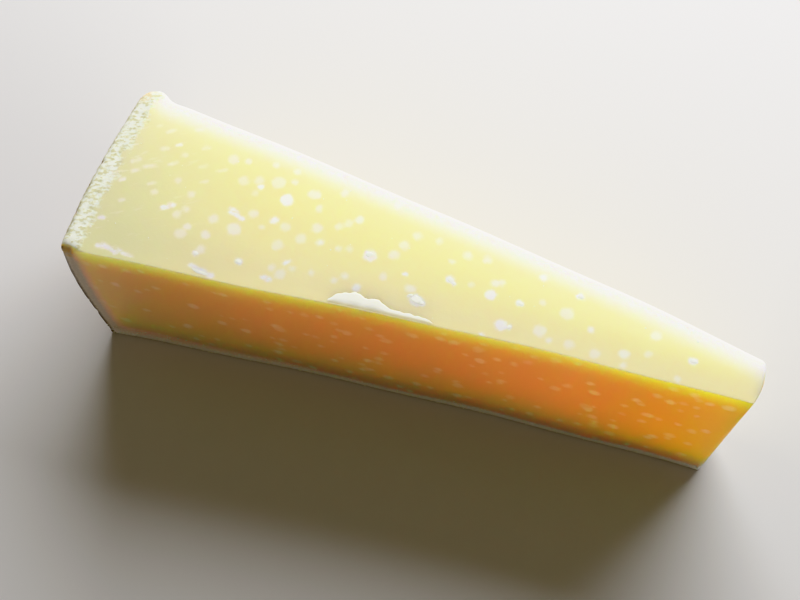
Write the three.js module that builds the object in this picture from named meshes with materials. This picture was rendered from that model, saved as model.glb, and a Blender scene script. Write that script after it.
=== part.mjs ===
// A wedge of aged hard cheese: one sector of a wheel, lying on the wheel's flat rind.
// Millimetres, +Z up. X runs along the middle of the wedge, from the rind end to the cut tip.
import * as THREE from 'three';
import { mergeVertices } from 'three/addons/utils/BufferGeometryUtils.js';

const { degToRad, lerp, mapLinear, smoothstep } = THREE.MathUtils;

// the wheel, and the sector that was cut from it
const wheelRadius = 211.2;
const wedgeAngle = degToRad( 12.6 );
const tipRadius = 50.7; // the blunt tip, measured from the wheel's centre
const height = 50;

// the side of the wheel bulges like a barrel, fullest a little above the middle
const barrel = { depth: 2.4, fullAt: 33 };
const rindCrumble = { depth: 0.35, waveAcross: 9, waveUp: 12, slantAcross: 22, slantUp: 15.7 };

// both radial cuts bend the same way along the wedge, and their faces are a little wavy
const frontBow = 1.8;
const backBow = 1.6;
const backShift = 0.4; // the back cut runs a little wide of the wheel's centre
const backSwell = { out: 0.5, at: 128, spread: 26 };
const knifeWave = { depth: 0.12, along: 23, up: 31 };

// the top of the front cut leans out over its foot, most of all towards the rind
const ridgeLean = { out: 1.1, at: 45, spread: 45 };

// a thin burr of torn paste on the ridge, where the knife ran out, rising faster than it fades
const burr = { rise: 0.9, from: 62, to: 92, width: 3.4, skew: 0.6 };

// the hard rind stands proud at the back corner, with a dent in the paste beside it
const nub = { proud: 1.7, at: 4.2, spread: 2.6, drop: 9 };
const shoulder = { depth: 0.3, at: 9, spread: 3 };

// the blunt tip is slightly round and not quite square to the wedge
const tipBow = 0.9;
const tipSkew = 0.4;
const tipLean = 0.8; // how far the top of the tip overhangs its foot

// the top sinks a little towards the back cut, where the paste has softened
const backSlump = { depth: 0.9, reach: 4.5, from: 40 };

// radius of each kind of edge, and the grid lines that shape it, measured in from the edge
const ridgeEdge = 0.4;
const cutEdge = 1;
const rindEdge = 2.4;
const footEdge = 0.6;
const rimLines = [ 0, 0.4, 1, 2.4, 4 ];
const linesAlong = 54;
const linesAcross = 12;
const linesUp = 14;

const halfAngle = wedgeAngle / 2;
const wedgeLength = wheelRadius - tipRadius;

const bell = ( offset, spread ) => Math.exp( - ( ( offset / spread ) ** 2 ) );

// Position of a grid line: the rim lines at both ends, the rest evenly between them.
function lineAt( index, count, span ) {

	const rim = rimLines.length - 1;
	if ( index <= rim ) return rimLines[ index ];
	if ( index >= count - rim ) return span - rimLines[ count - index ];
	return mapLinear( index, rim, count - rim, rimLines[ rim ], span - rimLines[ rim ] );

}

const widthAt = ( along ) => 2 * ( wheelRadius - along ) * Math.tan( halfAngle );

// Sharp along the ridge, rounder at the back and roundest against the rind.
function edgeRadius( along, across, up ) {

	const nearRind = 1 - smoothstep( along, rindEdge, 3 * rindEdge );
	const nearTop = smoothstep( up, height / 2, height - rindEdge );
	const nearFoot = 1 - smoothstep( up, 0, 4 * cutEdge );
	const topCorner = lerp( ridgeEdge, cutEdge, smoothstep( across, 0, widthAt( along ) ) );
	const radius = lerp( lerp( cutEdge, topCorner, nearTop ), rindEdge, nearRind * nearTop );
	return lerp( radius, footEdge, nearFoot );

}

// Moves a point on the face of a block onto the block's rounded edges.
function roundOff( point, size, radius ) {

	const low = new THREE.Vector3().setScalar( radius );
	const high = size.clone().subScalar( radius );
	const core = point.clone().clamp( low, high );
	return point.sub( core ).setLength( radius ).add( core );

}

function rindReach( across, up ) {

	const fullness = - barrel.depth * ( ( up - barrel.fullAt ) / barrel.fullAt ) ** 2;
	const lumps = Math.sin( ( across / rindCrumble.waveAcross + up / rindCrumble.slantUp ) * Math.PI )
		* Math.sin( ( up / rindCrumble.waveUp + across / rindCrumble.slantAcross ) * Math.PI );
	return wheelRadius + fullness + rindCrumble.depth * lumps;

}

function tipReach( side, up ) {

	const bowed = tipRadius * Math.cos( halfAngle ) - tipBow * ( 1 - side * side );
	return bowed - tipSkew * side / 2 - tipLean * ( up / height - 0.5 );

}

function knifeMarks( along, up ) {

	return knifeWave.depth * Math.sin( along / knifeWave.along * Math.PI + up / knifeWave.up * Math.PI );

}

function frontOffset( along, up ) {

	const part = along / wedgeLength;
	const lean = ridgeLean.out * bell( along - ridgeLean.at, ridgeLean.spread ) * up / height;
	return 4 * frontBow * part * ( 1 - part ) - lean + knifeMarks( along, up );

}

function backOffset( along, up ) {

	const part = along / wedgeLength;
	const corner = smoothstep( up, height - nub.drop, height );
	const lump = nub.proud * bell( along - nub.at, nub.spread );
	const dent = shoulder.depth * bell( along - shoulder.at, shoulder.spread );
	const swell = backSwell.out * bell( along - backSwell.at, backSwell.spread );
	return 4 * backBow * part * ( 1 - part ) + backShift + swell + ( lump - dent ) * corner
		- knifeMarks( along, up );

}

// The burr rises along the ridge and tapers away at both of its ends.
function burrRise( along, fromFront ) {

	const part = mapLinear( along, burr.from, burr.to, 0, 1 );
	if ( part <= 0 || part >= 1 ) return 0;
	const lengthwise = Math.sin( Math.PI * part ** burr.skew );
	const middle = cutEdge + burr.width / 2 * lengthwise;
	return burr.rise * lengthwise * bell( fromFront - middle, burr.width / 2 );

}

// The slump falls away like a quarter of an ellipse.
function backDrop( fromBack ) {

	const part = Math.max( 0, 1 - fromBack / backSlump.reach );
	return backSlump.depth * ( 1 - Math.sqrt( 1 - part * part ) );

}

// Bends a point of the plain block (along, across, up) into the wheel's sector.
function placeInWheel( along, across, up ) {

	const side = mapLinear( across, 0, widthAt( along ), - 1, 1 );
	const rindX = - rindReach( side * widthAt( 0 ) / 2, up ) * Math.cos( side * halfAngle );
	const x = lerp( rindX, - tipReach( side, up ), along / wedgeLength );
	const straightY = - x * Math.tan( halfAngle ) * side;
	const cutY = lerp( frontOffset( along, up ), backOffset( along, up ), ( side + 1 ) / 2 );
	const lift = burrRise( along, across ) * smoothstep( up, height - rindEdge, height );
	const drop = backDrop( widthAt( along ) - across ) * smoothstep( up, backSlump.from, height );
	return new THREE.Vector3( x, straightY + cutY, up + lift - drop );

}

function wedgeGeometry() {

	const block = new THREE.BoxGeometry( 1, 1, 1, linesAlong, linesAcross, linesUp );
	block.deleteAttribute( 'normal' );
	block.deleteAttribute( 'uv' );
	const geometry = mergeVertices( block );
	const position = geometry.getAttribute( 'position' );
	for ( let i = 0; i < position.count; i ++ ) {

		const lineIndex = ( value, count ) => Math.round( ( value + 0.5 ) * count );
		const along = lineAt( lineIndex( position.getX( i ), linesAlong ), linesAlong, wedgeLength );
		const width = widthAt( along );
		const across = lineAt( lineIndex( position.getY( i ), linesAcross ), linesAcross, width );
		const up = lineAt( lineIndex( position.getZ( i ), linesUp ), linesUp, height );
		const size = new THREE.Vector3( wedgeLength, width, height );
		const radius = edgeRadius( along, across, up );
		const point = roundOff( new THREE.Vector3( along, across, up ), size, radius );
		const placed = placeInWheel( point.x, point.y, point.z );
		position.setXYZ( i, placed.x, placed.y, placed.z );

	}

	// the origin is under the middle of the wedge's outline, on the face it rests on
	geometry.computeBoundingBox();
	const middle = geometry.boundingBox.getCenter( new THREE.Vector3() );
	geometry.translate( - middle.x, - middle.y, 0 );
	geometry.computeVertexNormals();
	return geometry;

}

const paste = new THREE.MeshStandardMaterial( { color: '#e6d98c', roughness: 0.5, metalness: 0 } );

const wedge = new THREE.Mesh( wedgeGeometry(), paste );
wedge.name = 'cheese_wedge';

const cheese = new THREE.Group();
cheese.add( wedge );

export default cheese;
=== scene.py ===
# Aged hard cheese wedge on a pale studio floor.
import math
import bmesh
import bpy
import numpy as np
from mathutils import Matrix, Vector, noise
from mathutils.bvhtree import BVHTree


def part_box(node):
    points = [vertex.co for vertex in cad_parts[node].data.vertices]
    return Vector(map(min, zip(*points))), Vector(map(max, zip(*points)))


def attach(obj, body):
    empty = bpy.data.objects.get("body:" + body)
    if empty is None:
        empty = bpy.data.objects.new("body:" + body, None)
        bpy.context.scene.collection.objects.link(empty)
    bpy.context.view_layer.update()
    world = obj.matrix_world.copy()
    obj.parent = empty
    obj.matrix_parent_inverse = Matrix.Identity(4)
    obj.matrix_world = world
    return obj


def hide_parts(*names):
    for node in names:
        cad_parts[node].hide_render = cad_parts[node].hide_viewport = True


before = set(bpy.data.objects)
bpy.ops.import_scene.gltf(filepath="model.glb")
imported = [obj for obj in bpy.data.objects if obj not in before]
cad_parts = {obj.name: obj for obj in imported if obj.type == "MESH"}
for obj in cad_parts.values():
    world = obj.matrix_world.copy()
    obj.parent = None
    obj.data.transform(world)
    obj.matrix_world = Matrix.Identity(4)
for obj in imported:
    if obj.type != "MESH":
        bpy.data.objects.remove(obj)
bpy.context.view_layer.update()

boxLow, boxHigh = (np.array(corner) * 1000 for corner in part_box("cheese_wedge"))  # mm
metre = 0.001  # shapes are worked out in mm and written in metres


def hexToLinear(hexColour):
    srgb = [int(hexColour[i:i + 2], 16) / 255 for i in (1, 3, 5)]
    linear = [c / 12.92 if c <= 0.04045 else ((c + 0.055) / 1.055) ** 2.4 for c in srgb]
    return (*linear, 1.0)


def addNode(tree, kind, inputs=None, **settings):
    # among the inputs a socket is linked, a node by its first live output, and the rest are plain values
    node = tree.nodes.new(kind)
    for name, value in settings.items():
        setattr(node, name, value)
    for name, value in (inputs or {}).items():
        if isinstance(value, bpy.types.Node):
            value = next(socket for socket in value.outputs if socket.enabled)
        if isinstance(value, bpy.types.NodeSocket):
            tree.links.new(value, node.inputs[name])
        else:
            node.inputs[name].default_value = value
    return node


def newMaterial(name):
    material = bpy.data.materials.new(name)
    material.use_nodes = True
    material.node_tree.nodes.clear()
    return material


def newGeometryTree(name, numbers, materials):
    tree = bpy.data.node_groups.new(name, "GeometryNodeTree")
    tree.interface.new_socket(name="Geometry", in_out="INPUT", socket_type="NodeSocketGeometry")
    for label, value in numbers.items():
        kind = "NodeSocketInt" if isinstance(value, int) else "NodeSocketFloat"
        tree.interface.new_socket(name=label, in_out="INPUT", socket_type=kind).default_value = value
    for label in materials:
        tree.interface.new_socket(name=label, in_out="INPUT", socket_type="NodeSocketMaterial")
    tree.interface.new_socket(name="Geometry", in_out="OUTPUT", socket_type="NodeSocketGeometry")
    return tree


def applyTree(source, tree, values, name):
    # runs the tree on a copy of source's mesh and keeps the result as a plain mesh
    worker = bpy.data.objects.new(name, source.data.copy())
    bpy.context.collection.objects.link(worker)
    modifier = worker.modifiers.new(name, "NODES")
    modifier.node_group = tree
    sockets = {item.name: item.identifier for item in tree.interface.items_tree if item.in_out == "INPUT"}
    for label, value in values.items():
        modifier[sockets[label]] = value
    depsgraph = bpy.context.evaluated_depsgraph_get()
    mesh = bpy.data.meshes.new_from_object(
        worker.evaluated_get(depsgraph), preserve_all_data_layers=True, depsgraph=depsgraph)
    worker.modifiers.remove(modifier)
    worker.data = mesh
    mesh.name = name
    return worker


def meshFrom(name, points, faces, edges=()):
    mesh = bpy.data.meshes.new(name)
    mesh.from_pydata((np.asarray(points) * metre).tolist(), list(edges), [list(face) for face in faces])
    mesh.shade_smooth()
    thing = bpy.data.objects.new(name, mesh)
    bpy.context.collection.objects.link(thing)
    return thing


def addField(mesh, name, values, domain="POINT"):
    field = mesh.attributes.new(name, "FLOAT", domain)
    field.data.foreach_set("value", np.asarray(values, dtype=np.float32))


def smoothStep(value, low, high):
    t = np.clip((value - low) / (high - low), 0, 1)
    return t * t * (3 - 2 * t)


def bell(offset, spread):
    return np.exp(-(offset / spread) ** 2)


def ripple(place, size, seed):
    # smooth noise from -1 to 1 at one place, its lumps about size apart; a seed moves it elsewhere
    return noise.noise(Vector(place) / size + Vector((seed * 17.3, seed * 5.1, 0)))


camera = {
    "aim": 20.3, "lookDown": 65.16,  # degrees: the view's turn round the wedge, and its tilt below level
    "place": (38.98, -115.51, 294.46), "lens": 54, "sensor": 36,  # mm
    "nearest": 0.01,  # metres
}


def addCamera():
    data = bpy.data.cameras.new("camera")
    data.lens = camera["lens"]
    data.sensor_width = camera["sensor"]
    data.clip_start = camera["nearest"]
    eye = bpy.data.objects.new("camera", data)
    eye.location = Vector(camera["place"]) * metre
    eye.rotation_euler = (math.radians(90 - camera["lookDown"]), 0, math.radians(camera["aim"]))
    bpy.context.collection.objects.link(eye)
    bpy.context.scene.camera = eye


addCamera()
print("camera placed")


# The wedge is a plain block of grid lines (along, across, up), bent into a sector of the wheel.
# along runs in from the rind, across runs back from the front cut.
wedge = {
    "wheelRadius": 211.2, "wedgeAngle": 12.6, "tipRadius": 50.7, "height": 50.0,
    "barrelDepth": 2.4, "barrelFullAt": 33.0,  # the wheel's side, fullest above its middle
    "frontBow": 1.8, "backBow": 1.6, "backShift": 0.4,  # both cuts bend the same way along the wedge
    "swellOut": 0.5, "swellAt": 128.0, "swellSpread": 26.0,  # the back cut swells near the tip
    "leanOut": 1.1, "leanAt": 45.0, "leanSpread": 45.0,  # the front cut's top leans out over its foot
    "waveDepth": 0.12, "waveAlong": 23.0, "waveUp": 31.0,  # waves that the knife left
    "nubProud": 1.7, "nubAt": 4.2, "nubSpread": 2.6, "nubDrop": 9.0,  # rind standing proud at the back corner
    "dentDepth": 0.3, "dentAt": 9.0, "dentSpread": 3.0,  # the dent beside it
    "slumpDepth": 0.9, "slumpReach": 4.5, "slumpFrom": 40.0,  # the top sinks towards the back cut
    "tipBow": 0.9, "tipSkew": 0.4, "tipLean": 0.8,
    "ridgeEdge": 0.15, "cutEdge": 1.0, "rindEdge": 2.4, "footEdge": 0.6,  # radius of each kind of edge
    "rims": (0, 0.15, 0.32, 0.52, 0.75, 1.0, 1.4, 1.9, 2.4),  # grid lines inside the rounded edges
    "linesAlong": 250, "linesAcross": 100, "linesUp": 60,
    "fineZone": 10.0, "fineStep": 0.36,  # closer lines through the crumbly rind band
    "skinTilt": 0.25,  # how far up a face of the rind end may look and still carry the rind's skin
    "topTilt": (0.7, 0.9), "edgeTilt": (0.1, 0.4),  # how far up a face of the top, and of its edges, looks
    "foremost": 0.01,  # mm in from the front cut that still counts as on it
}
halfAngle = math.radians(wedge["wedgeAngle"] / 2)
wedgeLength = wedge["wheelRadius"] - wedge["tipRadius"]


def lineAt(index, count, span):
    # rim lines at both ends, the rest evenly between them
    rims = np.array(wedge["rims"])
    last = len(rims) - 1
    inner = rims[-1] + (index - last) / (count - 2 * last) * (span - 2 * rims[-1])
    near = rims[np.clip(index, 0, last)]
    far = span - rims[np.clip(count - index, 0, last)]
    return np.where(index <= last, near, np.where(index >= count - last, far, inner))


def alongLines():
    # as lineAt, with an extra fine zone next to the rind
    rims = list(wedge["rims"])
    fine = list(np.arange(rims[-1] + wedge["fineStep"], wedge["fineZone"], wedge["fineStep"]))
    rest = wedge["linesAlong"] - 2 * (len(rims) - 1) - len(fine)
    coarse = np.linspace(wedge["fineZone"], wedgeLength - rims[-1], rest)
    return np.array(rims + fine + list(coarse) + [wedgeLength - rim for rim in rims[-2::-1]])


def widthAt(along):
    return 2 * (wedge["wheelRadius"] - along) * math.tan(halfAngle)


def edgeRadius(along, across, up):
    # sharp along the ridge, rounder at the back and roundest against the rind
    nearRind = 1 - smoothStep(along, wedge["rindEdge"], 3 * wedge["rindEdge"])
    nearTop = smoothStep(up, wedge["height"] / 2, wedge["height"] - wedge["rindEdge"])
    nearFoot = 1 - smoothStep(up, 0, 4 * wedge["cutEdge"])
    backness = smoothStep(across / widthAt(along), 0, 1)
    topCorner = wedge["ridgeEdge"] + (wedge["cutEdge"] - wedge["ridgeEdge"]) * backness
    radius = wedge["cutEdge"] + (topCorner - wedge["cutEdge"]) * nearTop
    radius = radius + (wedge["rindEdge"] - radius) * nearRind * nearTop
    return radius + (wedge["footEdge"] - radius) * nearFoot


def roundOff(points, size, radius):
    # pushes points on a block's faces onto its rounded edges, and gives the way each then faces
    radius = radius[:, None]
    core = np.clip(points, radius, size - radius)
    away = points - core
    away = away / np.linalg.norm(away, axis=1)[:, None]
    return core + away * radius, away


def rindReach(up):
    fullness = -wedge["barrelDepth"] * ((up - wedge["barrelFullAt"]) / wedge["barrelFullAt"]) ** 2
    return wedge["wheelRadius"] + fullness


def tipReach(side, up):
    bowed = wedge["tipRadius"] * math.cos(halfAngle) - wedge["tipBow"] * (1 - side ** 2)
    return bowed - wedge["tipSkew"] * side / 2 - wedge["tipLean"] * (up / wedge["height"] - 0.5)


def knifeWave(along, up):
    return wedge["waveDepth"] * np.sin(math.pi * (along / wedge["waveAlong"] + up / wedge["waveUp"]))


def frontOffset(along, up):
    part = along / wedgeLength
    lean = wedge["leanOut"] * bell(along - wedge["leanAt"], wedge["leanSpread"]) * up / wedge["height"]
    return 4 * wedge["frontBow"] * part * (1 - part) - lean + knifeWave(along, up)


def backOffset(along, up):
    part = along / wedgeLength
    lump = wedge["nubProud"] * bell(along - wedge["nubAt"], wedge["nubSpread"])
    dent = wedge["dentDepth"] * bell(along - wedge["dentAt"], wedge["dentSpread"])
    corner = smoothStep(up, wedge["height"] - wedge["nubDrop"], wedge["height"])
    swell = wedge["swellOut"] * bell(along - wedge["swellAt"], wedge["swellSpread"])
    return (4 * wedge["backBow"] * part * (1 - part) + wedge["backShift"] + swell
            + (lump - dent) * corner - knifeWave(along, up))


def placeInWheel(points):
    along, across, up = points.T
    side = 2 * across / widthAt(along) - 1
    rindX = -rindReach(up) * np.cos(side * halfAngle)
    x = rindX + (-tipReach(side, up) - rindX) * along / wedgeLength
    cutY = frontOffset(along, up) * (1 - side) / 2 + backOffset(along, up) * (1 + side) / 2
    toBack = np.clip(1 - (widthAt(along) - across) / wedge["slumpReach"], 0, 1)
    slump = wedge["slumpDepth"] * (1 - np.sqrt(1 - toBack ** 2))
    z = up - slump * smoothStep(up, wedge["slumpFrom"], wedge["height"])
    return np.stack([x, -x * math.tan(halfAngle) * side + cutY, z], axis=1)


def blockSurface(counts):
    # the outside of a block of grid cells: its lattice points and its quads, facing out
    quads = []
    for axis in range(3):
        b, c = (axis + 1) % 3, (axis + 2) % 3
        i, j = (g.ravel() for g in np.meshgrid(range(counts[b]), range(counts[c]), indexing="ij"))
        for end in (0, 1):
            corners = np.zeros((len(i), 4, 3), int)
            corners[:, :, axis] = end * counts[axis]
            corners[:, :, b] = i[:, None] + np.array([0, 1, 1, 0])
            corners[:, :, c] = j[:, None] + np.array([0, 0, 1, 1])
            quads.append(corners if end else corners[:, ::-1])
    corners = np.concatenate(quads)
    flat = corners.reshape(-1, 3) @ np.array([(counts[1] + 1) * (counts[2] + 1), counts[2] + 1, 1])
    codes, faces = np.unique(flat, return_inverse=True)
    lattice = np.stack([codes // ((counts[1] + 1) * (counts[2] + 1)),
                        codes // (counts[2] + 1) % (counts[1] + 1), codes % (counts[2] + 1)], axis=1)
    return lattice, faces.reshape(-1, 4), corners


def wedgeLattice():
    # every grid point of the wedge's skin, on the rounded block and bent into the wheel
    stops = alongLines()
    counts = (len(stops) - 1, wedge["linesAcross"], wedge["linesUp"])
    lattice, faces, corners = blockSurface(counts)
    along = stops[lattice[:, 0]]
    width = widthAt(along)
    across = lineAt(lattice[:, 1], counts[1], width)
    up = lineAt(lattice[:, 2], counts[2], wedge["height"])
    size = np.stack([np.full_like(width, wedgeLength), width, np.full_like(width, wedge["height"])], axis=1)
    block, facing = roundOff(np.stack([along, across, up], axis=1), size, edgeRadius(along, across, up))
    onRindEnd = (corners[:, :, 0].max(axis=1) == 0) & (facing[faces, 2].mean(axis=1) < wedge["skinTilt"])
    onSkin = onRindEnd | (corners[:, :, 2].max(axis=1) == 0)
    return block, facing, placeInWheel(block), faces, onSkin


block, facing, wheelPoints, wedgeFaces, onSkin = wedgeLattice()
wheelMiddle = (wheelPoints.min(axis=0) + wheelPoints.max(axis=0))[:2] / 2
wheelSpan = np.ptp(wheelPoints, axis=0)[:2]
boxMiddle = (boxLow + boxHigh)[:2] / 2
shrink = np.minimum(1, (boxHigh - boxLow)[:2] / wheelSpan)  # the finer grid peaks a little higher


def intoPart(points):
    # from the wheel's frame into the part's
    placed = np.array(points, dtype=float)
    placed[:, :2] = (placed[:, :2] - wheelMiddle) * shrink + boxMiddle
    return placed


def onPlan(along, fromFront):
    # a place on the cut top, measured in from the rind and back from the front cut
    toCentre = wedge["wheelRadius"] - along
    wheelPlace = np.array([[-toCentre, fromFront - toCentre * math.tan(halfAngle), wedge["height"]]])
    return intoPart(wheelPlace)[0]


bodyPoints = intoPart(wheelPoints)
print("wedge form built,", len(bodyPoints), "points")


# Thin curls that the knife raised.
curls = {
    # mm in from the rind, mm back from the front cut, length, width, turn in degrees
    "strokes": (
        (35.8, 1.9, 6.4, 0.72, -9), (37.8, 17.6, 4.4, 0.55, -12), (36.6, 18.9, 2.8, 0.4, -10),
        (11.4, 2.2, 1.9, 0.42, -4), (12.9, 2.6, 2.6, 0.5, -12), (14.4, 2.0, 3.0, 0.55, -8),
        (16.4, 2.3, 2.4, 0.45, -14), (17.7, 1.7, 2.0, 0.42, -6), (19.0, 1.6, 1.2, 0.4, 0),
        (8.4, 9.5, 1.5, 0.42, 18), (21.2, 15.7, 1.7, 0.6, 24), (22.8, 16.7, 0.8, 0.5, 30),
        (50.6, 6.4, 1.5, 0.4, 48), (53.3, 8.7, 1.6, 0.42, 42), (49.8, 3.7, 1.0, 0.6, 20),
        (51.1, 3.5, 0.9, 0.6, 14), (79.6, 12.3, 0.9, 0.4, 0), (100.8, 1.9, 1.3, 0.3, -4),
    ),
    "points": 11, "ringPoints": 10,
    "arch": 0.03, "bend": 0.06,  # parts of a curl's width and of its length
    "sunk": 0.03, "widen": 1.5, "lumpSize": 0.5,
    "fullness": 2.5, "thinnest": 0.12,  # how far out a curl stays wide, and what is left at its ends
    "inputs": {"Flatness": 0.12, "Unevenness": 0.06},
}


def curlSpines():
    points, edges, girths = [], [], []
    for number, (along, fromFront, length, width, turn) in enumerate(curls["strokes"]):
        heading = math.radians(turn)
        for step in range(curls["points"]):
            t = 2 * step / (curls["points"] - 1) - 1
            bent = curls["bend"] * length * (1 - t * t) * (1 if number % 2 else -1)
            lift = width * curls["arch"] * (1 - t * t)
            ahead = t * length / 2
            place = onSurface(along + ahead * math.cos(heading) - bent * math.sin(heading),
                              fromFront + ahead * math.sin(heading) + bent * math.cos(heading))
            points.append(place + np.array([0, 0, lift - curls["sunk"]]))
            taper = 0.5 - 0.5 * abs(t) ** curls["fullness"]
            girths.append(curls["widen"] * width * max(taper, curls["thinnest"]))
            if step:
                edges.append((len(points) - 2, len(points) - 1))
    spines = meshFrom("curlSpines", points, [], edges)
    addField(spines.data, "girth", girths)
    return spines


def curlTree():
    tree = newGeometryTree("knifeCurlTree", curls["inputs"], ("Finish",))
    given = addNode(tree, "NodeGroupInput").outputs
    spine = addNode(tree, "GeometryNodeMeshToCurve", {"Mesh": given["Geometry"]})
    girth = addNode(tree, "GeometryNodeInputNamedAttribute", {"Name": "girth"})
    tapered = addNode(tree, "GeometryNodeSetCurveRadius", {"Curve": spine, "Radius": girth})
    ring = addNode(tree, "GeometryNodeCurvePrimitiveCircle", {
        "Resolution": curls["ringPoints"], "Radius": metre})
    flatness = addNode(tree, "ShaderNodeCombineXYZ", {"X": 1.0, "Y": given["Flatness"], "Z": 1.0})
    section = addNode(tree, "GeometryNodeTransform", {"Geometry": ring, "Scale": flatness})
    curl = addNode(tree, "GeometryNodeCurveToMesh", {
        "Curve": tapered, "Profile Curve": section, "Scale": girth, "Fill Caps": True})
    lumps = addNode(tree, "ShaderNodeTexNoise", {"Scale": 1 / (curls["lumpSize"] * metre), "Detail": 1})
    normal = addNode(tree, "GeometryNodeInputNormal")
    amount = addNode(tree, "ShaderNodeMath", {0: given["Unevenness"], 1: -metre}, operation="MULTIPLY")
    push = addNode(tree, "ShaderNodeMath", {0: lumps, 1: amount}, operation="MULTIPLY")
    dents = addNode(tree, "ShaderNodeVectorMath", {0: normal, "Scale": push}, operation="SCALE")
    uneven = addNode(tree, "GeometryNodeSetPosition", {"Geometry": curl, "Offset": dents})
    real = addNode(tree, "GeometryNodeRealizeInstances", {"Geometry": uneven})
    smooth = addNode(tree, "GeometryNodeSetShadeSmooth", {"Geometry": real})
    finished = addNode(tree, "GeometryNodeSetMaterial", {"Geometry": smooth, "Material": given["Finish"]})
    addNode(tree, "NodeGroupOutput", {"Geometry": finished})
    return tree


# Larger crumbs that fell on the cut top.
crumbs = {
    # mm in from the rind, mm back from the front cut, length, width, turn in degrees
    "places": (
        (84.3, 6.6, 2.2, 1.5, -12), (85.4, 6.2, 1.1, 0.9, 20), (89.7, 13.5, 1.3, 1.0, -30),
        (90.8, 12.7, 0.8, 0.6, -30), (106.4, 11.4, 1.4, 0.8, 0), (118.6, 16.4, 1.2, 0.8, 0),
        (146.3, 7.0, 1.5, 0.9, 0), (105.8, 5.2, 0.9, 0.7, 40), (70.2, 15.3, 1.5, 1.1, 10),
        (32.9, 5.9, 0.9, 0.8, 0), (42.9, 6.2, 1.2, 0.9, -30), (82.6, 7.5, 0.9, 0.6, 30),
    ),
    "thick": 0.14, "sunk": 0.72,  # mm, and the part of it that is pressed into the paste
    "spread": 1.25, "roughness": 0.24, "lumpSize": 0.7, "gritSize": 0.3,
}


def buildCrumbs():
    model = bmesh.new()
    for number, (along, fromFront, length, width, turn) in enumerate(crumbs["places"]):
        lump = bmesh.ops.create_icosphere(model, subdivisions=3, radius=1)["verts"]
        middle = onSurface(along, fromFront)
        heading = math.radians(turn)
        for vertex in lump:
            way = vertex.co.normalized()
            uneven = ripple(way, crumbs["lumpSize"], number) + 0.5 * ripple(way, crumbs["gritSize"], number)
            x, y, z = way * (1 + crumbs["roughness"] * uneven)
            x, y = x * crumbs["spread"] * length / 2, y * crumbs["spread"] * width / 2
            rise = z * 0.5 + 0.5 - crumbs["sunk"]
            east = x * math.cos(heading) - y * math.sin(heading)
            north = x * math.sin(heading) + y * math.cos(heading)
            vertex.co = Vector((
                middle[0] + east, middle[1] + north, middle[2] + crumbs["thick"] * rise)) * metre
    mesh = bpy.data.meshes.new("looseCrumbs")
    model.to_mesh(mesh)
    model.free()
    mesh.shade_smooth()
    thing = bpy.data.objects.new("looseCrumbs", mesh)
    bpy.context.collection.objects.link(thing)
    return thing


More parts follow.
